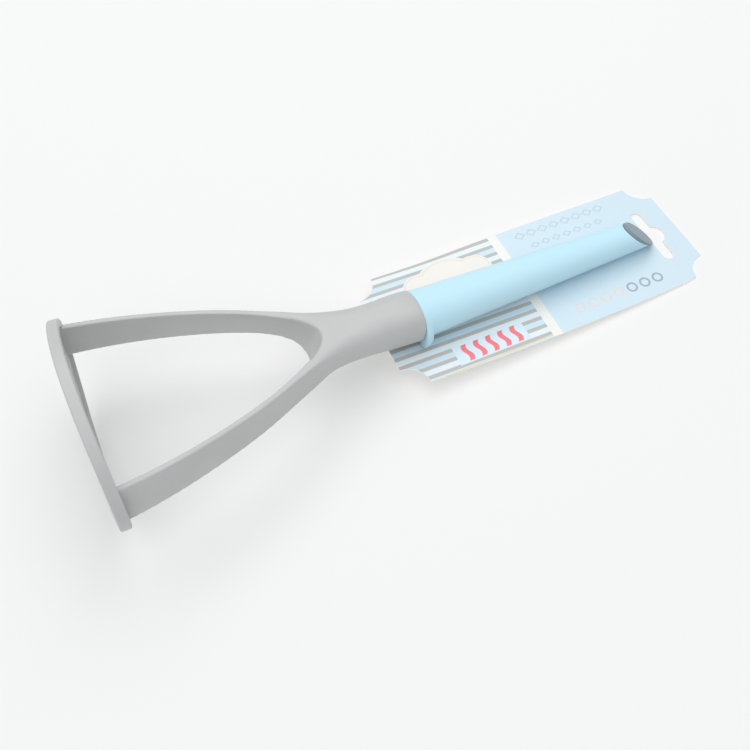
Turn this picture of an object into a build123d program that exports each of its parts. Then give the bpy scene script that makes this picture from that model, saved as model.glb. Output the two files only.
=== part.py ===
from build123d import *
import os
from math import cos, sin, tan, radians, pi

os.makedirs("parts", exist_ok=True)

# ---------------------------------------------------------------------------
# Potato masher lying as it is sold: the oval mashing plate stands on its long
# edge, the handle slopes down to its far end, and a thin card is stuck under
# the handle. Millimetres, +Z up, +X towards the handle's end, the bottom of
# everything at Z = 0.
#
# Tool coordinates: t runs along the masher from the back of the mashing plate
# to the handle's end, y runs across (the wishbone's width), w is upwards,
# square to both. The whole masher leans forward by tool_slope.
# ---------------------------------------------------------------------------

# placement
tool_slope = 6.755          # the masher's axis falls this much towards +X, deg
tool_x = -135.80            # where t = 0 stands in X
tool_z = 38.161             # height of the axis at t = 0

# mashing plate
plate_half_long = 47.2      # half length, along y
plate_half_short = 36.4     # half height, along w
plate_centre = -2.4         # the oval's centre lies this much below the axis
plate_power = 1.76          # outline |y/a|^n + |w/b|^n = 1
plate_rim_depth = 4.4       # edge thickness, along t
plate_bow = 2.5             # the mashing face bulges this much in the middle
plate_rim_width = 3.6       # width of the raised rim at the back
plate_web_drop = 1.6        # the web lies this much below the rim
slot_height = 7.2           # openings, along w
slot_pitch_w = 11.4         # from row to row
slot_bar = 3.0              # bar between two openings of a row

# wishbone arms
arm_lean = 5.95             # each strip leans outwards at its lower edge, deg
arm_half_height_0 = 10.0    # half the strip's width at t = 0
arm_half_height_drop = 0.0388
outer_pts = [(-3.3, 41.4), (0, 41.05), (21.1, 37.55), (42.2, 32.25), (63.4, 25.15), (76, 19.75), (84.5, 16.1), (94, 12.3), (103, 10.0)]
inner_pts = [(-3.3, 39.0), (0, 38.65), (21.1, 35.25), (42.2, 29.95), (63.4, 22.65), (76, 16.8), (84.5, 11.7)]

# inside of the fork: its upper rim reaches further back than its lower rim
fork_level = 10.0
fork_upper = [(63.4, 22.6), (76, 16.95), (82.8, 12.7), (87.1, 10.0), (90.7, 7.4), (93.4, 4.9), (95.1, 2.45), (95.7, 0)]
fork_lower = [(63.4, 22.6), (76, 17.25), (81.2, 13.7), (83.7, 11.0), (85.4, 8.4), (86.4, 5.4), (86.9, 2.75), (87.0, 0)]

# shank, sections (t, half width, half height, corner radius, centre height)
shank_sections = [
    (76.0, 18.9, 7.05, 2.2, 0.0),
    (84.0, 16.0, 6.75, 2.6, 0.0),
    (97.0, 12.6, 7.3, 5.0, -0.8),
    (108.0, 11.2, 8.6, 7.6, -2.2),
    (119.0, 10.85, 9.7, 8.8, -3.1),
    (139.0, 11.3, 9.7, 8.6, -3.9),
]
tang_width = 10.0
tang_height = 7.0
tang_length = 48.0
tang_w = -2.2

# handle, straight sides between the two ends
handle_start = 139.0
handle_half_width_0 = 11.59
handle_half_height_0 = 9.79
handle_centre_0 = -3.72
handle_width_slope = -0.0390
handle_height_slope = -0.0257
handle_centre_slope = 0.04425
sleeve_wall = 1.9
sleeve_front_wall = 2.0
flange_thickness = 3.1
flange_half_width = 13.6
flange_half_height = 12.45
flange_centre = -7.3

# slanted end and its cap
cut_t = 257.6               # where the cut crosses the handle's centre line
cut_angle = 53.5            # the cut leans back by this angle, deg
face_t = 260.3
face_angle = 50.0
cap_overhang = 0.2
plug_depth = 9.0

# cross pin
pin_radius = 2.0
pin_t = 178.0

# card under the handle
card_length = 161.0
card_width = 62.0
card_thickness = 0.5
card_notch = 10.2
card_near_bow = 1.6         # the near long edge is cut to a very flat arc
card_t = 204.87             # the card's centre, along the tool
card_y = 2.84
card_w_at_flange = -14.25   # the card's upper face under the flange
card_rise = 4.0             # angle between the card and the masher's axis, deg
card_yaw = -0.65
hang_slot_length = 32.0
hang_slot_width = 5.4
hang_slot_u = 66.13
hang_slot_v = -0.56
hang_hump_radius = 5.4
hang_hump_u = 67.34

# foam pads between handle and card
pad_length = 20.0
pad_width = 6.0
pad_stations = [165.0, 200.0, 235.0]
pad_gap = 0.3               # left free under the handle
flange_gap = 0.3            # left free between the flange's flat bottom and the card

# ---------------------------------------------------------------------------
# planes
# ---------------------------------------------------------------------------
axis_dir = Vector(cos(radians(tool_slope)), 0, -sin(radians(tool_slope)))
up_dir = Vector(sin(radians(tool_slope)), 0, cos(radians(tool_slope)))
tool = Plane(origin=(tool_x, 0, tool_z), x_dir=axis_dir, z_dir=up_dir)


def cross(t, w=0.0):
    """Plane square to the tool at t: local x is y, local y is w."""
    return Plane(origin=tool.from_local_coords(Vector(t, 0, w)), x_dir=(0, 1, 0), z_dir=axis_dir)


def level(w):
    """Plane parallel to the wishbone at height w: local x is t, local y is y."""
    return Plane(origin=tool.from_local_coords(Vector(0, 0, w)), x_dir=axis_dir, z_dir=up_dir)


def side(y=0.0):
    """Upright plane along the tool: local x is t, local y is w, normal -Y."""
    return Plane(origin=tool.from_local_coords(Vector(0, y, 0)), x_dir=axis_dir, z_dir=(0, -1, 0))


def oval_points(a, b, n, count=40):
    pts = []
    for i in range(count):
        q = 2 * pi * i / count
        c, s = cos(q), sin(q)
        x = a * (1 if c >= 0 else -1) * abs(c) ** (2 / n)
        y = b * (1 if s >= 0 else -1) * abs(s) ** (2 / n)
        pts.append((x, y))
    return pts


def handle_section(t, inset=0.0):
    d = t - handle_start
    return (
        handle_half_width_0 + handle_width_slope * d - inset,
        handle_half_height_0 + handle_height_slope * d - inset,
        handle_centre_0 + handle_centre_slope * d,
    )


cut_centre = handle_section(cut_t)[2]
face_centre = handle_section(face_t)[2]
# normals of the slanted cut and of the cap's face, in row coordinates
cut_normal = axis_dir * cos(radians(cut_angle)) + up_dir * sin(radians(cut_angle))
face_normal = axis_dir * cos(radians(face_angle)) + up_dir * sin(radians(face_angle))
cut_plane = Plane(origin=tool.from_local_coords(Vector(cut_t, 0, cut_centre)), x_dir=(0, 1, 0), z_dir=cut_normal)
face_plane = Plane(origin=tool.from_local_coords(Vector(face_t, 0, face_centre)), x_dir=(0, 1, 0), z_dir=face_normal)

flange_t = handle_start + flange_thickness / 2

# ---------------------------------------------------------------------------
# yoke: two strip arms, crotch, shank and tang in one moulding
# ---------------------------------------------------------------------------
arm_level = 13.0
lean = radians(arm_lean)
arm_shift = -arm_level * tan(lean)
far_dir = Vector(0, sin(lean), 0) - up_dir * cos(lean)

with BuildPart() as far_arm:
    with BuildSketch(level(arm_level)) as far_profile:
        with BuildLine():
            outer = Spline(*[(t, y + arm_shift) for t, y in outer_pts])
            inner = Spline(*[(t, y + arm_shift) for t, y in inner_pts])
            Line(outer @ 0, inner @ 0)
            Line(outer @ 1, inner @ 1)
        make_face()
    extrude(amount=2 * arm_level / cos(lean), dir=far_dir)
    h0 = arm_half_height_0
    with BuildSketch(side()) as far_taper:
        with BuildLine():
            Polyline(
                (-5, h0), (84, h0 - 84 * arm_half_height_drop), (104, 4.4),
                (104, -4.9), (84, -h0 + 84 * arm_half_height_drop), (-5, -h0), close=True,
            )
        make_face()
    extrude(amount=80, both=True, mode=Mode.INTERSECT)

with BuildPart() as crotch:
    for t, hw, hh, r, wc in shank_sections:
        with BuildSketch(cross(t, wc)):
            RectangleRounded(2 * hw, 2 * hh, r)
    loft()
    # the inside of the wishbone's fork
    for height, points in ((-fork_level, fork_lower), (fork_level, fork_upper)):
        with BuildSketch(level(height)):
            with BuildLine():
                fork_far = Spline(*points, tangents=[(0.85, -0.5), (0, -1)])
                fork_near = Spline(*[(t, -y) for t, y in points], tangents=[(0.85, 0.5), (0, 1)])
                Line(fork_far @ 0, fork_near @ 0)
            make_face()
    loft(mode=Mode.SUBTRACT)

with BuildPart() as yoke:
    add(crotch.part)
    add(far_arm.part)
    add(mirror(far_arm.part, about=Plane.XZ))
    with BuildSketch(cross(handle_start - 1.0, tang_w)):
        RectangleRounded(tang_width, tang_height, 1.2)
    extrude(amount=tang_length + 1.0)
    # hole for the cross pin
    with BuildSketch(Plane(origin=tool.from_local_coords(Vector(pin_t, 0, tang_w)), x_dir=axis_dir, z_dir=(0, 1, 0))):
        Circle(pin_radius)
    extrude(amount=20, both=True, mode=Mode.SUBTRACT)

# ---------------------------------------------------------------------------
# mashing plate: bowed oval with a raised rim and rows of openings
# ---------------------------------------------------------------------------
a_out, b_out = plate_half_long, plate_half_short
a_in, b_in = a_out - plate_rim_width, b_out - plate_rim_width
# the arcs run a little past the outline
reach = a_out + 4.0
end_t = plate_bow * ((reach / a_out) ** 2 - 1)

with BuildPart() as mashing_plate:
    with BuildSketch(cross(-12, plate_centre)):
        with BuildLine():
            Spline(*oval_points(a_out, b_out, plate_power), periodic=True)
        make_face()
    extrude(amount=18)
    # bowed slab: both faces follow arcs across the plate
    with BuildSketch(level(0)) as bow_slab:
        with BuildLine():
            back_arc = ThreePointArc((end_t, -reach), (-plate_bow, 0), (end_t, reach))
            front_arc = ThreePointArc(
                (end_t - plate_rim_depth, -reach), (-plate_rim_depth - plate_bow, 0), (end_t - plate_rim_depth, reach)
            )
            Line(back_arc @ 0, front_arc @ 0)
            Line(back_arc @ 1, front_arc @ 1)
        make_face()
    extrude(amount=50, both=True, mode=Mode.INTERSECT)
    rim_edges = mashing_plate.edges().filter_by(lambda e: e.length > 60)
    fillet(rim_edges, radius=0.7)

with BuildPart() as recess:
    with BuildSketch(cross(-12, plate_centre)):
        with BuildLine():
            Spline(*oval_points(a_in, b_in, plate_power), periodic=True)
        make_face()
    extrude(amount=20)
    with BuildSketch(level(0)) as recess_slab:
        with BuildLine():
            low_arc = ThreePointArc(
                (end_t - plate_web_drop, -reach), (-plate_web_drop - plate_bow, 0), (end_t - plate_web_drop, reach)
            )
            back_line = Line((6, -reach), (6, reach))
            Line(low_arc @ 0, back_line @ 0)
            Line(low_arc @ 1, back_line @ 1)
        make_face()
    extrude(amount=50, both=True, mode=Mode.INTERSECT)

# rows of openings: (row, counted from the middle; number; length)
slot_rows = [(0, 4, 15.0), (1, 4, 15.0), (-1, 4, 15.0), (2, 3, 12.0), (-2, 3, 12.0)]

with BuildPart() as plate_slots:
    for row, number, length in slot_rows:
        with BuildSketch(cross(-12, plate_centre + row * slot_pitch_w)):
            with GridLocations(length + slot_bar, 10, number, 1):
                RectangleRounded(length, slot_height, 1.0)
        extrude(amount=16)

with BuildPart() as plate_done:
    add(mashing_plate.part)
    add(recess.part, mode=Mode.SUBTRACT)
    add(plate_slots.part, mode=Mode.SUBTRACT)
    # mortises that take the ends of the arms
    add(yoke.part, mode=Mode.SUBTRACT)

# ---------------------------------------------------------------------------
# cross pin
# ---------------------------------------------------------------------------
pin_half = handle_section(pin_t, sleeve_wall)[0] - 0.9
with BuildPart() as tang_pin:
    with BuildSketch(Plane(origin=tool.from_local_coords(Vector(pin_t, -pin_half, tang_w)), x_dir=axis_dir, z_dir=(0, 1, 0))):
        Circle(pin_radius)
    extrude(amount=2 * pin_half)
    chamfer(tang_pin.edges().filter_by(GeomType.CIRCLE), length=0.4)

# ---------------------------------------------------------------------------
# handle core, soft sleeve and end cap
# ---------------------------------------------------------------------------
loft_end = 290.0

with BuildPart() as handle_core:
    for t in (handle_start + sleeve_front_wall, loft_end):
        hw, hh, wc = handle_section(t, sleeve_wall)
        with BuildSketch(cross(t, wc)):
            Ellipse(hw, hh)
    loft(ruled=True)
    split(bisect_by=cut_plane, keep=Keep.BOTTOM)
    # socket for the tang
    with BuildSketch(cross(handle_start, tang_w)):
        RectangleRounded(tang_width, tang_height, 1.2)
    extrude(amount=tang_length, mode=Mode.SUBTRACT)
    # socket for the cap's plug
    hw, hh, wc = handle_section(cut_t)
    with BuildSketch(cross(cut_t - plug_depth, wc - 0.6)):
        Ellipse(3.4, 2.6)
    extrude(amount=30, mode=Mode.SUBTRACT)
    add(tang_pin.part, mode=Mode.SUBTRACT)

with BuildPart() as handle_sleeve:
    for t in (handle_start, loft_end):
        hw, hh, wc = handle_section(t)
        with BuildSketch(cross(t, wc)):
            Ellipse(hw, hh)
    loft(ruled=True)
    split(bisect_by=cut_plane, keep=Keep.BOTTOM)
    # front flange, fuller underneath, cut off flat just above the card
    with BuildSketch(cross(handle_start, flange_centre)):
        Ellipse(flange_half_width, flange_half_height)
    extrude(amount=flange_thickness)
    with BuildSketch(side()):
        with BuildLine():
            w0 = card_w_at_flange + flange_gap
            k = tan(radians(card_rise))
            t0, t1 = handle_start - 5, handle_start + 10
            Polyline(
                (t0, w0 + (t0 - flange_t) * k), (t1, w0 + (t1 - flange_t) * k),
                (t1, -40), (t0, -40), close=True,
            )
        make_face()
    extrude(amount=30, both=True, mode=Mode.SUBTRACT)
    # room for the core
    for t in (handle_start + sleeve_front_wall, loft_end):
        hw, hh, wc = handle_section(t, sleeve_wall)
        with BuildSketch(cross(t, wc)):
            Ellipse(hw, hh)
    loft(ruled=True, mode=Mode.SUBTRACT)
    # the tang's way in
    with BuildSketch(cross(handle_start - 1, tang_w)):
        RectangleRounded(tang_width, tang_height, 1.2)
    extrude(amount=10, mode=Mode.SUBTRACT)

with BuildPart() as end_cap:
    for t in (230.0, loft_end):
        hw, hh, wc = handle_section(t, -cap_overhang)
        with BuildSketch(cross(t, wc)):
            Ellipse(hw, hh)
    loft(ruled=True)
    split(bisect_by=cut_plane, keep=Keep.TOP)
    split(bisect_by=face_plane, keep=Keep.BOTTOM)
    face_edge = end_cap.faces().sort_by(Axis(face_plane.origin, face_plane.z_dir))[-1].edges()
    fillet(face_edge, radius=0.5)
    hw, hh, wc = handle_section(cut_t)
    with BuildSketch(cross(cut_t - plug_depth, wc - 0.6)):
        Ellipse(3.4, 2.6)
    extrude(amount=plug_depth + 3.0)
    split(bisect_by=face_plane, keep=Keep.BOTTOM)

# ---------------------------------------------------------------------------
# card and foam pads
# ---------------------------------------------------------------------------
rise = radians(card_rise)
card_w = card_w_at_flange + (card_t - flange_t) * tan(rise)
card_up = up_dir * cos(rise) - axis_dir * sin(rise)
card_along = axis_dir * cos(rise) + up_dir * sin(rise)
card_x = card_along * cos(radians(card_yaw)) + Vector(0, 1, 0) * sin(radians(card_yaw))
card_top = Plane(origin=tool.from_local_coords(Vector(card_t, card_y, card_w)), x_dir=card_x, z_dir=card_up)

with BuildPart() as retail_card:
    with BuildSketch(card_top) as card_outline:
        with BuildLine():
            half_l, half_w = card_length / 2, card_width / 2
            Polyline((-half_l, -half_w), (-half_l, half_w), (half_l, half_w), (half_l, -half_w))
            ThreePointArc((half_l, -half_w), (0, -half_w - card_near_bow), (-half_l, -half_w))
        make_face()
        with GridLocations(card_length, card_width, 2, 2):
            Circle(card_notch, mode=Mode.SUBTRACT)
        with Locations((hang_slot_u, hang_slot_v)):
            SlotOverall(hang_slot_length, hang_slot_width, rotation=90, mode=Mode.SUBTRACT)
        # a hump in the middle of the slot, on the side of the card's end
        with Locations((hang_hump_u, hang_slot_v)):
            Circle(hang_hump_radius, mode=Mode.SUBTRACT)
        with Locations((hang_slot_u - hang_slot_width / 2 - 3.0, hang_slot_v)):
            Rectangle(6.0, 14.0)
    extrude(amount=-card_thickness)

with BuildPart() as glue_pads:
    for t in pad_stations:
        u = (t - card_t) / cos(rise)
        with BuildSketch(card_top):
            with Locations((u, -card_y)):
                Rectangle(pad_length, pad_width)
        extrude(amount=8)
    # flat tops, just under the handle
    t0, t1 = 140.0, 285.0
    s0, s1 = handle_section(t0), handle_section(t1)
    with BuildSketch(side()) as pad_top:
        with BuildLine():
            Polyline(
                (t0, s0[2] - s0[1] - pad_gap), (t1, s1[2] - s1[1] - pad_gap),
                (t1, 20), (t0, 20), close=True,
            )
        make_face()
    extrude(amount=30, both=True, mode=Mode.SUBTRACT)

# ---------------------------------------------------------------------------
# files
# ---------------------------------------------------------------------------
plate_done.part.label = "mashing_plate"
export_step(plate_done.part, "parts/mashing_plate.step")
yoke.part.label = "yoke"
export_step(yoke.part, "parts/yoke.step")
tang_pin.part.label = "tang_pin"
export_step(tang_pin.part, "parts/tang_pin.step")
handle_core.part.label = "handle_core"
export_step(handle_core.part, "parts/handle_core.step")
handle_sleeve.part.label = "handle_sleeve"
export_step(handle_sleeve.part, "parts/handle_sleeve.step")
end_cap.part.label = "end_cap"
export_step(end_cap.part, "parts/end_cap.step")
retail_card.part.label = "retail_card"
export_step(retail_card.part, "parts/retail_card.step")
glue_pads.part.label = "glue_pads"
export_step(glue_pads.part, "parts/glue_pads.step")
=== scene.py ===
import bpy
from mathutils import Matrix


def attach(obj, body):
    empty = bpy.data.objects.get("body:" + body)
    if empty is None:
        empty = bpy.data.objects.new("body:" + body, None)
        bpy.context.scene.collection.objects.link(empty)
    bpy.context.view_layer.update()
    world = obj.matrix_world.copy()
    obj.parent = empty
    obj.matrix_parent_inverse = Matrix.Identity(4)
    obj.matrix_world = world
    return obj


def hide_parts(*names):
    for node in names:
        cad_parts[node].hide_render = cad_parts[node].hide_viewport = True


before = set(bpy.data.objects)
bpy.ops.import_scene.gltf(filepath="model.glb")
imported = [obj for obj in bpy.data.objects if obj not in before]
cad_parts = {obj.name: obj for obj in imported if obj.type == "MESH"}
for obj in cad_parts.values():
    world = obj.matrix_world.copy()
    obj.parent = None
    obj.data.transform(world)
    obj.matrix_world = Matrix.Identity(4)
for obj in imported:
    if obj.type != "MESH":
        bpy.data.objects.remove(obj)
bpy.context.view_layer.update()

import math

import bmesh
import bpy
from mathutils import Matrix, Vector

MM = 0.001

# ---------------------------------------------------------------------------
# the masher's own coordinates: t along it, y across, w upwards, millimetres
# ---------------------------------------------------------------------------
SLOPE = math.radians(6.755)
AXIS = Vector((math.cos(SLOPE), 0.0, -math.sin(SLOPE)))
UPW = Vector((math.sin(SLOPE), 0.0, math.cos(SLOPE)))
ACROSS = Vector((0.0, 1.0, 0.0))
ORIGIN = Vector((-0.13580, 0.0, 0.038161))

START = 139.0
CUT_T, CUT_ANGLE = 257.9, math.radians(54.5)
FACE_T, FACE_ANGLE = 259.7, math.radians(53.5)


def place(t, y, w):
    return ORIGIN + AXIS * (t * MM) + ACROSS * (y * MM) + UPW * (w * MM)


def section(t):
    """Half width, half height and centre height of the handle at t."""
    d = t - START
    return 11.59 - 0.0390 * d, 9.79 - 0.0257 * d, -3.72 + 0.04425 * d


def lin(r, g, b):
    """Display colour 0..255 to linear."""
    out = []
    for v in (r, g, b):
        v /= 255.0
        out.append(v / 12.92 if v <= 0.04045 else ((v + 0.055) / 1.055) ** 2.4)
    return (*out, 1.0)


# ---------------------------------------------------------------------------
# small helpers for meshes
# ---------------------------------------------------------------------------
def new_object(name, verts, faces, smooth=True):
    me = bpy.data.meshes.new(name)
    me.from_pydata([tuple(v) for v in verts], [], faces)
    me.validate()
    me.update()
    bm = bmesh.new()
    bm.from_mesh(me)
    bmesh.ops.recalc_face_normals(bm, faces=bm.faces)
    bm.to_mesh(me)
    bm.free()
    for p in me.polygons:
        p.use_smooth = smooth
    ob = bpy.data.objects.new(name, me)
    bpy.context.scene.collection.objects.link(ob)
    return ob


def tube(rings, close_first=None, close_last=None):
    """Verts and quads of a skin over rings of equal length; a close point makes a fan."""
    n = len(rings[0])
    verts = [v for ring in rings for v in ring]
    faces = []
    for i in range(len(rings) - 1):
        a, b = i * n, (i + 1) * n
        for j in range(n):
            k = (j + 1) % n
            faces.append((a + j, a + k, b + k, b + j))
    if close_first is not None:
        verts.append(close_first)
        c = len(verts) - 1
        faces += [(c, (j + 1) % n, j) for j in range(n)]
    if close_last is not None:
        verts.append(close_last)
        c = len(verts) - 1
        a = (len(rings) - 1) * n
        faces += [(c, a + j, a + (j + 1) % n) for j in range(n)]
    return verts, faces


def applied(ob, modifiers):
    """Adds modifiers, bakes them into the mesh and leaves none behind."""
    for kind, settings in modifiers:
        m = ob.modifiers.new(kind.lower(), kind)
        for key, value in settings.items():
            setattr(m, key, value)
    dg = bpy.context.evaluated_depsgraph_get()
    dg.update()
    me = bpy.data.meshes.new_from_object(ob.evaluated_get(dg))
    ob.modifiers.clear()
    ob.data = me
    return ob


def softened(node, name, voxel, rounds, grow):
    """A moulded version of a node's solid: same shape, all edges softly rounded."""
    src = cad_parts[node]
    me = src.data.copy()
    me.materials.clear()
    ob = bpy.data.objects.new(name, me)
    bpy.context.scene.collection.objects.link(ob)
    applied(ob, [
        ("WELD", {"merge_threshold": 1e-6}),
        ("REMESH", {"mode": "VOXEL", "voxel_size": voxel, "adaptivity": 0.0, "use_smooth_shade": True}),
        ("SMOOTH", {"factor": 0.5, "iterations": rounds}),
        ("DISPLACE", {"strength": grow, "mid_level": 0.0, "direction": "NORMAL"}),
    ])
    for p in ob.data.polygons:
        p.use_smooth = True
    return ob


def bevelled(node, name, width):
    """A node's own surface with small bevels on its edges, for crisp mouldings."""
    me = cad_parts[node].data.copy()
    me.materials.clear()
    ob = bpy.data.objects.new(name, me)
    bpy.context.scene.collection.objects.link(ob)
    applied(ob, [
        ("WELD", {"merge_threshold": 2e-6}),
        ("DECIMATE", {"decimate_type": "DISSOLVE", "angle_limit": math.radians(2.0)}),
        ("BEVEL", {"width": width, "segments": 2, "limit_method": "ANGLE", "angle_limit": math.radians(40.0), "harden_normals": False}),
    ])
    for p in ob.data.polygons:
        p.use_smooth = True
    applied(ob, [("WEIGHTED_NORMAL", {"keep_sharp": False, "weight": 80})])
    return ob


def rounded_fork(ob):
    """Rounds the rims of the fork's end more than the other edges."""
    me = ob.data
    inv = 1000.0
    grp = ob.vertex_groups.new(name="fork_rim")
    for v in me.vertices:
        d = v.co - ORIGIN
        t, y, w = d.dot(AXIS) * inv, abs(d.y) * inv, d.dot(UPW) * inv
        k = min(1.0, max(0.0, (t - 76.0) / 6.0)) * min(1.0, max(0.0, (101.0 - t) / 3.0))
        k *= min(1.0, max(0.0, (13.5 - y) / 2.0)) * min(1.0, max(0.0, (w - 1.0) / 2.0))
        if k > 0.0:
            grp.add([v.index], k, "REPLACE")
    applied(ob, [("SMOOTH", {"factor": 0.5, "iterations": 40, "vertex_group": "fork_rim"})])
    ob.vertex_groups.clear()
    for p in ob.data.polygons:
        p.use_smooth = True


# ---------------------------------------------------------------------------
# small helpers for materials
# ---------------------------------------------------------------------------
class Nodes:
    def __init__(self, name):
        self.mat = bpy.data.materials.new(name)
        self.mat.use_nodes = True
        self.nt = self.mat.node_tree
        self.bsdf = self.nt.nodes["Principled BSDF"]
        self.co = None

    def new(self, kind, **settings):
        n = self.nt.nodes.new(kind)
        for key, value in settings.items():
            setattr(n, key, value)
        return n

    def link(self, a, b):
        self.nt.links.new(a, b)

    def fill(self, socket, value):
        if isinstance(value, bpy.types.NodeSocket):
            self.link(value, socket)
        else:
            socket.default_value = value

    def coords(self):
        if self.co is None:
            self.co = self.new("ShaderNodeTexCoord").outputs["Object"]
        return self.co

    def math(self, op, a, b=None, c=None, clamp=False):
        n = self.new("ShaderNodeMath", operation=op, use_clamp=clamp)
        for i, v in enumerate((a, b, c)):
            if v is not None:
                self.fill(n.inputs[i], v)
        return n.outputs[0]

    def dot(self, vec, axis):
        n = self.new("ShaderNodeVectorMath", operation="DOT_PRODUCT")
        self.link(vec, n.inputs[0])
        n.inputs[1].default_value = tuple(axis)
        return n.outputs["Value"]

    def step(self, x, edge, width=0.05):
        """0 below the edge, 1 above it, over a narrow ramp."""
        return self.math("MULTIPLY_ADD", x, 1.0 / width, 0.5 - edge / width, clamp=True)

    def between(self, x, lo, hi, width=0.05):
        a = self.step(x, lo, width)
        b = self.step(x, hi, width)
        return self.math("SUBTRACT", a, b, clamp=True)

    def mix(self, fac, a, b):
        n = self.new("ShaderNodeMix", data_type="RGBA")
        self.fill(n.inputs[0], fac)
        self.fill(n.inputs[6], a)
        self.fill(n.inputs[7], b)
        return n.outputs[2]

    def noise(self, scale, detail=2.0, rough=0.5, stretch=None):
        n = self.new("ShaderNodeTexNoise")
        co = self.coords()
        if stretch is not None:
            m = self.new("ShaderNodeMapping")
            m.inputs["Scale"].default_value = stretch
            self.link(co, m.inputs["Vector"])
            co = m.outputs[0]
        self.link(co, n.inputs["Vector"])
        n.inputs["Scale"].default_value = scale
        n.inputs["Detail"].default_value = detail
        n.inputs["Roughness"].default_value = rough
        return n.outputs["Fac"]

    def ramp(self, x, lo, hi, a, b):
        n = self.new("ShaderNodeMapRange")
        self.fill(n.inputs["Value"], x)
        n.inputs["From Min"].default_value = lo
        n.inputs["From Max"].default_value = hi
        n.inputs["To Min"].default_value = a
        n.inputs["To Max"].default_value = b
        return n.outputs[0]

    def bump(self, height, strength, distance, normal=None):
        n = self.new("ShaderNodeBump")
        n.inputs["Strength"].default_value = strength
        n.inputs["Distance"].default_value = distance
        self.link(height, n.inputs["Height"])
        if normal is not None:
            self.link(normal, n.inputs["Normal"])
        return n.outputs[0]

    def set(self, **values):
        for key, value in values.items():
            self.fill(self.bsdf.inputs[key.replace("_", " ")], value)


def moulded(name, dark, light, rough=(0.40, 0.52), grain=0.10, specular=0.5):
    """Moulded plastic: faint flow mottling, fine spark-eroded grain."""
    m = Nodes(name)
    flow = m.noise(38.0, 3.0, 0.55)
    fine = m.noise(2600.0, 2.0, 0.6)
    mid = m.noise(420.0, 3.0, 0.6)
    tone = m.math("MULTIPLY_ADD", fine, 0.25, m.math("MULTIPLY", flow, 0.75))
    m.set(Base_Color=m.mix(m.ramp(tone, 0.32, 0.68, 0.0, 1.0), dark, light))
    m.set(Roughness=m.ramp(mid, 0.3, 0.7, rough[0], rough[1]), Specular_IOR_Level=specular)
    b1 = m.bump(fine, grain, 0.00006)
    m.set(Normal=m.bump(mid, grain * 0.6, 0.00012, b1))
    return m.mat


# ---------------------------------------------------------------------------
# materials
# ---------------------------------------------------------------------------
nylon = moulded("nylon", lin(191, 192, 191), lin(197, 198, 197))
core_plastic = moulded("core_plastic", lin(205, 205, 202), lin(214, 214, 211))
cap_plastic = moulded("cap_plastic", lin(128, 144, 155), lin(136, 151, 161), rough=(0.34, 0.46))

# soft-touch sleeve: matte skin with very fine grain and a faint velvet edge
g = Nodes("soft_grip")
flow = g.noise(26.0, 2.0, 0.5, stretch=(0.35, 1.0, 1.0))
fine = g.noise(3200.0, 2.0, 0.65)
dust = g.noise(900.0, 4.0, 0.7)
tone = g.math("MULTIPLY_ADD", fine, 0.3, g.math("MULTIPLY", flow, 0.7))
g.set(Base_Color=g.mix(g.ramp(tone, 0.3, 0.7, 0.0, 1.0), lin(194, 232, 247), lin(200, 236, 249)))
g.set(Roughness=g.ramp(dust, 0.35, 0.65, 0.52, 0.66), Specular_IOR_Level=0.35)
g.bsdf.inputs["Sheen Weight"].default_value = 0.12
g.bsdf.inputs["Sheen Roughness"].default_value = 0.5
g.set(Normal=g.bump(dust, 0.06, 0.00010, g.bump(fine, 0.08, 0.00005)))
soft_grip = g.mat

# brushed steel for the pin
s = Nodes("pin_steel")
brush = s.noise(1800.0, 3.0, 0.6, stretch=(1.0, 0.02, 1.0))
s.set(Base_Color=s.mix(s.ramp(brush, 0.3, 0.7, 0.0, 1.0), lin(150, 150, 148), lin(186, 186, 184)))
s.set(Roughness=s.ramp(brush, 0.3, 0.7, 0.22, 0.38))
s.bsdf.inputs["Metallic"].default_value = 1.0
s.set(Normal=s.bump(brush, 0.1, 0.00003))
pin_steel = s.mat

# open-cell foam of the pads
f = Nodes("foam")
cells = f.new("ShaderNodeTexVoronoi")
cells.inputs["Scale"].default_value = 1500.0
f.link(f.coords(), cells.inputs["Vector"])
f.set(Base_Color=f.mix(f.ramp(cells.outputs["Distance"], 0.1, 0.7, 0.0, 1.0), lin(196, 198, 196), lin(232, 232, 228)))
f.bsdf.inputs["Roughness"].default_value = 0.9
f.set(Normal=f.bump(cells.outputs["Distance"], 0.5, 0.0002))
foam = f.mat

# ---------------------------------------------------------------------------
# card: its own coordinates, u along it towards the handle's end, v to the far side
# ---------------------------------------------------------------------------
RISE, YAW = math.radians(4.0), math.radians(-0.65)
CARD_L, CARD_W, CARD_TH = 161.0, 62.0, 0.5
NOTCH, BOW = 10.2, 1.6
SLOT_U, SLOT_V, SLOT_L, SLOT_W, HUMP_U, HUMP_R = 66.13, -0.56, 32.0, 5.4, 67.34, 5.4
card_along = AXIS * math.cos(RISE) + UPW * math.sin(RISE)
CARD_UP = UPW * math.cos(RISE) - AXIS * math.sin(RISE)
CARD_X = card_along * math.cos(YAW) + ACROSS * math.sin(YAW)
CARD_Y = CARD_UP.cross(CARD_X)
CARD_W0 = -14.25            # height of the card's upper face under the flange
CARD_O = place(204.87, 2.84, CARD_W0 + (204.87 - 140.55) * math.tan(RISE))


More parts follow.
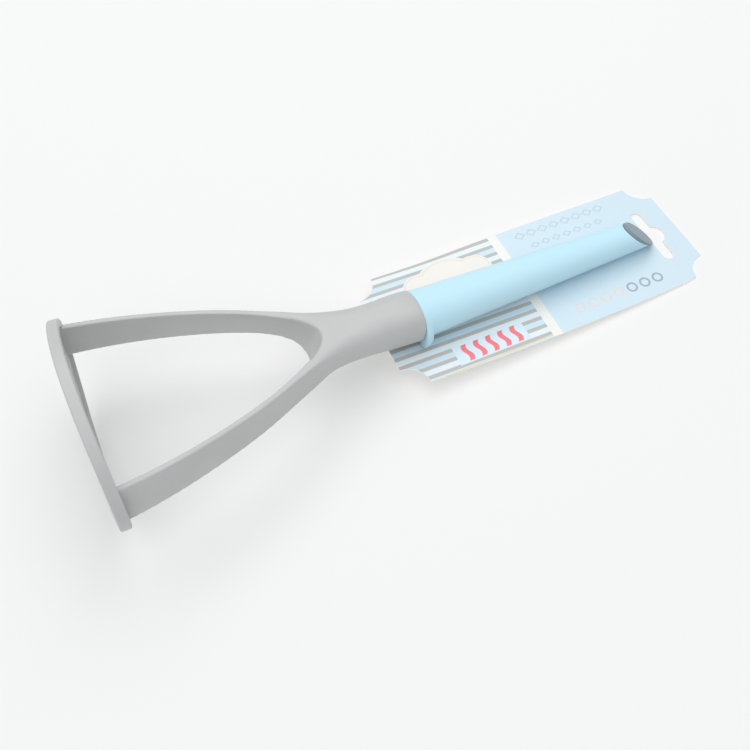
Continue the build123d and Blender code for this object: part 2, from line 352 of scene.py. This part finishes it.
def card_uv(m):
    """u and v of the shaded point, in millimetres; the print sits a hair askew on the card."""
    d = m.new("ShaderNodeVectorMath", operation="SUBTRACT")
    m.link(m.coords(), d.inputs[0])
    d.inputs[1].default_value = tuple(CARD_O)
    u = m.math("MULTIPLY", m.dot(d.outputs[0], CARD_X), 1000.0)
    v = m.math("MULTIPLY", m.dot(d.outputs[0], CARD_Y), 1000.0)
    pu = m.math("MULTIPLY_ADD", v, -0.00976, m.math("MULTIPLY_ADD", u, 1.00098, 0.23))
    pv = m.math("MULTIPLY_ADD", u, -0.00529, m.math("MULTIPLY_ADD", v, 1.01381, -0.08))
    return pu, pv


def card_print():
    m = Nodes("card_print")
    u, v = card_uv(m)
    pale = lin(210, 230, 240)
    blue_gap = lin(208, 231, 241)
    white_gap = lin(229, 241, 245)
    grey = lin(190, 187, 183)
    cream = lin(244, 242, 236)
    # lengthwise stripes
    skew = m.math("MULTIPLY_ADD", u, 0.020, v)
    x = m.math("MULTIPLY_ADD", skew, 1.0 / 4.70, -(30.1 - 2.35) / 4.70)
    f_ = m.math("FRACT", x)
    off = m.math("ABSOLUTE", m.math("SUBTRACT", f_, 0.5))
    stripe = m.math("SUBTRACT", 1.0, m.step(off, 0.205, 0.05), clamp=True)
    gap = m.math("PINGPONG", m.math("ROUND", x), 1.0)
    gaps = m.mix(gap, white_gap, blue_gap)
    # the field that the waves stand on
    field = m.math("MULTIPLY", m.between(u, -54.0, -18.4), m.between(v, -29.6, -19.6))
    stripe = m.math("MULTIPLY", stripe, m.math("SUBTRACT", 1.0, field))
    left = m.mix(stripe, gaps, grey)
    left = m.mix(m.math("MULTIPLY", field, 1.0), left, lin(221, 238, 246))
    # thin gold line near the edge
    left = m.mix(m.math("MULTIPLY", m.between(v, -32.1, -31.5), m.between(u, -69.0, -8.6)), left, lin(232, 214, 158))
    # red waves
    wav = m.math("SINE", m.math("MULTIPLY_ADD", v, 2 * math.pi / 9.4, 0.6))
    ux = m.math("MULTIPLY_ADD", wav, -0.85, u)
    px = m.math("FRACT", m.math("MULTIPLY_ADD", ux, 1 / 6.2, 51.2 / 6.2))
    d = m.math("MULTIPLY", m.math("ABSOLUTE", m.math("SUBTRACT", px, 0.5)), 6.2)
    waves = m.math("SUBTRACT", 1.0, m.step(d, 1.25, 0.2), clamp=True)
    waves = m.math("MULTIPLY", waves, m.math("MULTIPLY", m.between(ux, -51.2, -20.2), m.between(v, -28.9, -20.0)))
    left = m.mix(waves, left, lin(250, 122, 134))
    # badge: a domed label shape with a thin line inside its edge
    def oval(cu, cv, ru, rv):
        a = m.math("POWER", m.math("MULTIPLY_ADD", u, 1 / ru, -cu / ru), 2.0)
        b = m.math("POWER", m.math("MULTIPLY_ADD", v, 1 / rv, -cv / rv), 2.0)
        return m.math("SQRT", m.math("ADD", a, b))
    dome = oval(-36.8, 17.0, 15.0, 12.4)
    lobe_a = oval(-50.8, 17.2, 8.9, 7.9)
    lobe_b = oval(-22.8, 17.2, 8.9, 7.9)
    shape = m.math("MINIMUM", dome, m.math("MINIMUM", lobe_a, lobe_b))
    badge = m.math("SUBTRACT", 1.0, m.step(shape, 1.0, 0.02), clamp=True)
    left = m.mix(badge, left, lin(241, 236, 229))
    left = m.mix(m.math("MULTIPLY", m.between(shape, 0.865, 0.895, 0.02), 0.55), left, lin(214, 190, 160))
    # right half
    right = m.mix(m.between(u, -8.4, -3.7, 0.1), pale, cream)
    # two faint ornamental rows
    def chain(cv, lo, hi, pitch, ru, rv, inner):
        fu = m.math("MULTIPLY", m.math("SUBTRACT", m.math("FRACT", m.math("MULTIPLY_ADD", u, 1 / pitch, -lo / pitch)), 0.5), pitch)
        a = m.math("MULTIPLY", m.math("ABSOLUTE", fu), 1 / ru)
        b = m.math("MULTIPLY", m.math("ABSOLUTE", m.math("SUBTRACT", v, cv)), 1 / rv)
        r = m.math("ADD", a, b)
        return m.math("MULTIPLY", m.between(r, inner, 1.0, 0.08), m.between(u, lo, hi))
    row_a = chain(25.6, 3.6, 54.8, 6.4, 3.1, 2.5, 0.62)
    row_b = chain(17.8, 8.0, 50.0, 6.0, 2.6, 2.0, 0.55)
    right = m.mix(m.math("MULTIPLY", m.math("MAXIMUM", row_a, row_b), 0.8), right, lin(190, 208, 219))
    fu = m.math("MULTIPLY", m.math("SUBTRACT", m.math("FRACT", m.math("MULTIPLY_ADD", u, 1 / 7.1, -7.6 / 7.1)), 0.5), 7.1)
    rr = m.math("SQRT", m.math("ADD", m.math("POWER", fu, 2.0), m.math("POWER", m.math("ADD", v, 24.0), 2.0)))
    rings = m.between(rr, 1.75, 2.75, 0.15)
    tan_rings = m.math("MULTIPLY", rings, m.between(u, 7.6, 36.0))
    grey_rings = m.math("MULTIPLY", rings, m.between(u, 36.0, 57.3))
    right = m.mix(m.math("MULTIPLY", tan_rings, 0.9), right, lin(232, 218, 212))
    right = m.mix(m.math("MULTIPLY", grey_rings, 0.9), right, lin(158, 170, 178))
    whole = m.mix(m.step(u, -8.4, 0.1), left, right)
    # very faint unevenness of print on board
    fibre = m.noise(700.0, 4.0, 0.65, stretch=(1.0, 0.5, 1.0))
    whole = m.mix(m.ramp(fibre, 0.3, 0.75, 0.0, 0.05), whole, lin(200, 205, 208))
    m.set(Base_Color=whole, Roughness=m.ramp(fibre, 0.3, 0.7, 0.38, 0.50), Specular_IOR_Level=0.4)
    m.set(Normal=m.bump(fibre, 0.05, 0.00008))
    return m.mat


def card_board():
    m = Nodes("card_board")
    fibre = m.noise(900.0, 5.0, 0.7, stretch=(1.0, 0.4, 1.0))
    specks = m.noise(2600.0, 2.0, 0.5)
    col = m.mix(m.ramp(fibre, 0.3, 0.7, 0.0, 1.0), lin(240, 238, 233), lin(248, 247, 243))
    col = m.mix(m.ramp(specks, 0.66, 0.72, 0.0, 0.4), col, lin(190, 184, 172))
    m.set(Base_Color=col, Normal=m.bump(fibre, 0.15, 0.0001))
    m.bsdf.inputs["Roughness"].default_value = 0.85
    # painted light: a faint glow on the white board brightens its shaded edges and slot walls, standing in for light
    # seeping through the thin board
    m.bsdf.inputs["Emission Color"].default_value = (1.0, 0.98, 0.94, 1.0)
    m.bsdf.inputs["Emission Strength"].default_value = 0.12
    return m.mat


print_mat, board_mat = card_print(), card_board()


def sag(u, v):
    """The thin card droops a little towards its near edge, in millimetres."""
    k = max(0.0, 1.0 - (u / (CARD_L / 2)) ** 2)
    far = max(0.0, (v - 9.0) / (CARD_W / 2 - 9.0))
    dip = math.exp(-((u + 45.0) / 26.0) ** 2)
    return -0.8 * k * ((CARD_W / 2 - v) / CARD_W) ** 2 - 1.2 * dip * far ** 2


def card_mesh():
    hl, hw = CARD_L / 2, CARD_W / 2
    outer = []

    def arc(cu, cv, r, a0, a1, n):
        for i in range(n + 1):
            a = math.radians(a0 + (a1 - a0) * i / n)
            outer.append((cu + r * math.cos(a), cv + r * math.sin(a)))

    def near(u):
        return -hw - BOW * (1 - (u / hl) ** 2)

    # counter-clockwise, starting after the near left notch
    arc(-hl, -hw, NOTCH, 88, 2, 14)
    for i in range(1, 24):
        uu = -hl + NOTCH + (2 * hl - 2 * NOTCH) * i / 24
        outer.append((uu, near(uu)))
    outer[14] = (-hl + NOTCH, near(-hl + NOTCH))
    arc(hl, -hw, NOTCH, 178, 92, 14)
    arc(hl, hw, NOTCH, 270, 180, 14)
    arc(-hl, hw, NOTCH, 360, 270, 14)
    hole = []
    r = SLOT_W / 2
    top, bot = SLOT_V + SLOT_L / 2 - r, SLOT_V - SLOT_L / 2 + r
    for i in range(13):
        a = math.radians(180 - 180 * i / 12)
        hole.append((SLOT_U + r * math.cos(a), top + r * math.sin(a)))
    # down the outer side, round the hump
    reach = math.sqrt(HUMP_R ** 2 - (SLOT_U + r - HUMP_U) ** 2)
    a0 = math.atan2(reach, SLOT_U + r - HUMP_U)
    for i in range(17):
        a = a0 - 2 * a0 * i / 16
        hole.append((HUMP_U + HUMP_R * math.cos(a), SLOT_V + HUMP_R * math.sin(a)))
    for i in range(13):
        a = math.radians(-180 * i / 12)
        hole.append((SLOT_U + r * math.cos(a), bot + r * math.sin(a)))

    bm = bmesh.new()
    edges = []
    for loop in (outer, hole):
        vs = [bm.verts.new((a, b, 0.0)) for a, b in loop]
        edges += [bm.edges.new((vs[i], vs[(i + 1) % len(vs)])) for i in range(len(vs))]
    bmesh.ops.triangle_fill(bm, use_beauty=True, use_dissolve=False, edges=edges)
    for i in range(-9, 10):
        bmesh.ops.bisect_plane(bm, geom=bm.verts[:] + bm.edges[:] + bm.faces[:], plane_co=(i * 8.1, 0, 0), plane_no=(1, 0, 0))
    for i in range(-3, 4):
        bmesh.ops.bisect_plane(bm, geom=bm.verts[:] + bm.edges[:] + bm.faces[:], plane_co=(0, i * 8.2, 0), plane_no=(0, 1, 0))
    bmesh.ops.recalc_face_normals(bm, faces=bm.faces)
    if sum(f_.normal.z for f_ in bm.faces) < 0:
        bmesh.ops.reverse_faces(bm, faces=bm.faces)
    for f_ in bm.faces:
        f_.material_index = 0
    top_faces = bm.faces[:]
    grown = bmesh.ops.extrude_face_region(bm, geom=top_faces, use_keep_orig=True)
    lower = [e for e in grown["geom"] if isinstance(e, bmesh.types.BMVert)]
    for v_ in lower:
        v_.co.z -= CARD_TH
    for f_ in bm.faces:
        zs = [v_.co.z for v_ in f_.verts]
        f_.material_index = 0 if min(zs) > -1e-6 else 1
    bmesh.ops.recalc_face_normals(bm, faces=bm.faces)
    for v_ in bm.verts:
        a, b, h = v_.co
        p = CARD_O + CARD_X * (a * MM) + CARD_Y * (b * MM) + CARD_UP * (h * MM)
        p.z = max(p.z + sag(a, b) * MM, 0.00002)
        v_.co = p
    me = bpy.data.meshes.new("card_sheet")
    bm.to_mesh(me)
    bm.free()
    me.materials.append(print_mat)
    me.materials.append(board_mat)
    ob = bpy.data.objects.new("card_sheet", me)
    bpy.context.scene.collection.objects.link(ob)
    return ob


card = card_mesh()
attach(card, "card")
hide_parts("retail_card")

# ---------------------------------------------------------------------------
# nylon head: wishbone and plate
# ---------------------------------------------------------------------------
wishbone = softened("yoke", "wishbone", 0.00035, 15, 0.00006)
rounded_fork(wishbone)
wishbone.data.materials.append(nylon)
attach(wishbone, "masher")
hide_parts("yoke")

plate = bevelled("mashing_plate", "plate", 0.00018)
plate.data.materials.append(nylon)
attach(plate, "masher")
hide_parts("mashing_plate")

# ---------------------------------------------------------------------------
# handle: sleeve with flange and guard, then the cap
# ---------------------------------------------------------------------------
COUNT = 128
ANGLES = [2 * math.pi * i / COUNT for i in range(COUNT)]


def polar(theta, a, b, k):
    """Distance from the handle's centre line to an oval whose centre is k higher."""
    c, s_ = math.cos(theta), math.sin(theta)
    qa = (c / a) ** 2 + (s_ / b) ** 2
    qb = -2.0 * k * s_ / b ** 2
    qc = (k / b) ** 2 - 1.0
    return (-qb + math.sqrt(qb * qb - 4 * qa * qc)) / (2 * qa)


def body_r(theta, t):
    a, b, _ = section(t)
    return polar(theta, a, b, 0.0)


def flange_r(theta):
    return polar(theta, 13.6, 12.45, -7.3 - section(START)[2])


def smax(a, b, k):
    h = max(0.0, 1.0 - abs(a - b) / k)
    return max(a, b) + 0.25 * k * h * h


def flat_under(theta, r, t):
    """Keeps a radius above the flat bottom that runs along the card."""
    s_ = math.sin(theta)
    if s_ > -0.2:
        return r
    low = CARD_W0 + 0.3 + (t - 140.55) * math.tan(RISE)
    return -smax(-r, -(section(t)[2] - low) / -s_, 0.25)


def at(theta, r, t):
    return place(t, r * math.cos(theta), section(t)[2] + r * math.sin(theta))


def cut_t(theta, r_extra, t0, angle):
    """t where the wall at this angle meets a plane that leans back."""
    wc0 = section(t0)[2]
    t = t0
    for _ in range(12):
        w = section(t)[2] + (body_r(theta, t) + r_extra) * math.sin(theta)
        t = t0 - (w - wc0) * math.tan(angle)
    return t


def plane_t(w, t0, angle):
    return t0 - (w - section(t0)[2]) * math.tan(angle)


def thin(theta):
    return 1.7 * min(1.0, max(0.0, (-math.sin(theta) - 0.25) / 0.4))


def sleeve_rings():
    rings = []
    shank = [polar(q, 11.3, 9.7, -3.9 - section(START)[2]) for q in ANGLES]
    outer = [smax(body_r(q, START) - 0.05, flange_r(q), 0.6) for q in ANGLES]
    outer = [flat_under(q, outer[i], START) for i, q in enumerate(ANGLES)]
    # inner lip beside the shank, then the front face
    rings.append([at(q, shank[i] - 2.6, START + 1.6) for i, q in enumerate(ANGLES)])
    rings.append([at(q, shank[i] - 2.4, START + 0.02) for i, q in enumerate(ANGLES)])
    round_f = 0.45
    for k in range(1, 7):
        fi = math.pi / 2 * k / 6
        rings.append([
            at(q, (outer[i] - round_f) + round_f * math.sin(fi), START + round_f * (1 - math.cos(fi)))
            if outer[i] - round_f > shank[i] - 0.3 else
            at(q, max((outer[i] - round_f) + round_f * math.sin(fi), shank[i] - 0.4), START + round_f * (1 - math.cos(fi)))
            for i, q in enumerate(ANGLES)
        ])
    for t in (140.2, 140.8, 141.3, 141.5, 141.7, 141.85, 142.0, 142.1, 142.2, 142.3, 142.4, 142.5, 142.65, 142.8, 143.0, 143.3, 143.8, 145.0):
        if t <= 141.4:
            drop = 0.0
        elif t < 142.05:
            drop = 0.7 - math.sqrt(max(0.0, 0.49 - (t - 141.4) ** 2))
        else:
            drop = 0.43 + (t - 142.05) * 9.0
        # the flange is a little thinner underneath
        rings.append([
            at(q, flat_under(q, smax(body_r(q, t), outer[i] - drop, 0.5), t), t - thin(q) * max(0.0, 1.0 - abs(t - 142.0) / 2.5))
            for i, q in enumerate(ANGLES)
        ])
    ends = [cut_t(q, 0.0, CUT_T, CUT_ANGLE) for q in ANGLES]
    steps = 44
    for k in range(1, steps + 1):
        s_ = k / steps
        ring = []
        for i, q in enumerate(ANGLES):
            t = 145.0 + (ends[i] - 0.45 - 145.0) * s_
            ring.append(at(q, body_r(q, t), t))
        rings.append(ring)
    # rounded end edge and the end face under the cap
    for k in range(1, 5):
        fi = math.pi / 2 * k / 4
        rings.append([at(q, body_r(q, ends[i]) - 0.3 * (1 - math.cos(fi)), ends[i] - 0.45 + 0.45 * math.sin(fi)) for i, q in enumerate(ANGLES)])
    rings.append([at(q, body_r(q, ends[i]) - 1.9, plane_t(section(ends[i])[2] + (body_r(q, ends[i]) - 1.9) * math.sin(q), CUT_T, CUT_ANGLE)) for i, q in enumerate(ANGLES)])
    rings.append([at(q, body_r(q, ends[i]) - 2.2, plane_t(section(ends[i])[2] + (body_r(q, ends[i]) - 1.9) * math.sin(q), CUT_T, CUT_ANGLE) - 2.0) for i, q in enumerate(ANGLES)])
    return rings


verts, faces = tube(sleeve_rings())
sleeve = new_object("sleeve", verts, faces)
sleeve.data.materials.append(soft_grip)
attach(sleeve, "masher")
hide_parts("handle_sleeve")


def cap_rings():
    over = 0.2
    t_c = [cut_t(q, over, CUT_T + 0.05, CUT_ANGLE) for q in ANGLES]
    t_f = [cut_t(q, over, FACE_T, FACE_ANGLE) for q in ANGLES]
    rings = []

    def inner(q, i, inset, t0, angle, depth):
        r = body_r(q, t_c[i]) + over - inset
        w = section(t_c[i])[2] + r * math.sin(q)
        t = plane_t(w, t0, angle) + depth
        return place(t, r * math.cos(q), w)

    rings.append([inner(q, i, 3.2, CUT_T + 0.05, CUT_ANGLE, 0.0) for i, q in enumerate(ANGLES)])
    rings.append([inner(q, i, 0.9, CUT_T + 0.05, CUT_ANGLE, 0.0) for i, q in enumerate(ANGLES)])
    for k in range(0, 5):
        fi = math.pi / 2 * k / 4
        rings.append([inner(q, i, 0.3 * (1 - math.sin(fi)), CUT_T + 0.05, CUT_ANGLE, 0.45 * (1 - math.cos(fi))) for i, q in enumerate(ANGLES)])
    for k in range(1, 7):
        s_ = k / 7
        ring = []
        for i, q in enumerate(ANGLES):
            a_, b_ = t_c[i] + 0.45, t_f[i] - 0.45
            t = a_ + (b_ - a_) * s_
            r = body_r(q, t) + over
            ring.append(at(q, r, t))
        rings.append(ring)
    for k in range(0, 7):
        fi = math.pi / 2 * k / 6
        rings.append([inner(q, i, 0.3 * (1 - math.cos(fi)), FACE_T, FACE_ANGLE, -0.45 * (1 - math.sin(fi))) for i, q in enumerate(ANGLES)])
    for inset, depth in ((0.45, 0.0), (0.6, -0.04), (0.75, -0.14), (0.95, -0.2), (2.4, -0.22), (4.0, -0.22)):
        rings.append([inner(q, i, inset, FACE_T, FACE_ANGLE, depth) for i, q in enumerate(ANGLES)])
    return rings


rings = cap_rings()
mid_f = place(FACE_T - 0.22, 0.0, section(FACE_T)[2])
mid_c = place(CUT_T + 0.05, 0.0, section(CUT_T)[2])
verts, faces = tube(rings, close_first=mid_c, close_last=mid_f)
cap = new_object("cap", verts, faces)
cap.data.materials.append(cap_plastic)
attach(cap, "masher")
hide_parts("end_cap")

# inner nodes keep their shape and get their own finish
for node, mat in (("handle_core", core_plastic), ("tang_pin", pin_steel), ("glue_pads", foam)):
    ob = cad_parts[node]
    if not ob.material_slots:
        ob.data.materials.append(mat)
    for sl in ob.material_slots:
        sl.material = mat

# ---------------------------------------------------------------------------
# floor, light and camera
# ---------------------------------------------------------------------------
fl = Nodes("studio_floor")
fl.bsdf.inputs["Base Color"].default_value = (0.70, 0.70, 0.692, 1.0)
fl.bsdf.inputs["Emission Color"].default_value = (1.0, 0.998, 0.99, 1.0)
fl.bsdf.inputs["Emission Strength"].default_value = 0.19
fl.bsdf.inputs["Roughness"].default_value = 0.9
fl.bsdf.inputs["Specular IOR Level"].default_value = 0.1
floor = new_object("studio_floor", [(-4, -4, 0), (4, -4, 0), (4, 4, 0), (-4, 4, 0)], [(0, 1, 2, 3)], smooth=False)
floor.data.materials.append(fl.mat)

scene = bpy.context.scene
scene.view_settings.view_transform = "Standard"
scene.view_settings.look = "None"
world = bpy.data.worlds.new("studio_air")
world.use_nodes = True
world.node_tree.nodes["Background"].inputs[0].default_value = (0.94, 0.985, 1.04, 1.0)
world.node_tree.nodes["Background"].inputs[1].default_value = 0.39
scene.world = world


def area(name, loc, target, size, watts, colour=(1, 1, 1)):
    data = bpy.data.lights.new(name, "AREA")
    data.shape = "RECTANGLE"
    data.size, data.size_y = size
    data.energy = watts
    data.color = colour
    ob = bpy.data.objects.new(name, data)
    ob.location = loc
    ob.rotation_mode = "QUATERNION"
    ob.rotation_quaternion = (Vector(target) - Vector(loc)).to_track_quat("-Z", "Y")
    scene.collection.objects.link(ob)
    return ob


area("top_softbox", (-0.2, -0.05, 1.7), (-0.05, 0.0, 0.0), (3.2, 3.2), 33.0, (1.0, 0.995, 0.985))
area("key_softbox", (0.5, 0.9, 1.3), (-0.05, 0.0, 0.0), (1.6, 1.2), 6.5, (1.0, 0.985, 0.955))

cam_data = bpy.data.cameras.new("camera")
cam_data.sensor_width = 36.0
cam_data.lens = 838.88 / 750.0 * 36.0
cam_data.clip_start, cam_data.clip_end = 0.01, 30.0
cam = bpy.data.objects.new("camera", cam_data)
right = AXIS * 0.898873 - ACROSS * 0.431606 + UPW * 0.075793
up = AXIS * 0.316349 + ACROSS * 0.758811 + UPW * 0.569324
fwd = AXIS * 0.303236 + ACROSS * 0.487773 - UPW * 0.818613
rot = Matrix((right, up, -fwd)).transposed()
cam.matrix_world = Matrix.Translation(place(3.995, -191.303, 280.470)) @ rot.to_4x4()
scene.collection.objects.link(cam)
scene.camera = cam

bpy.context.view_layer.update()
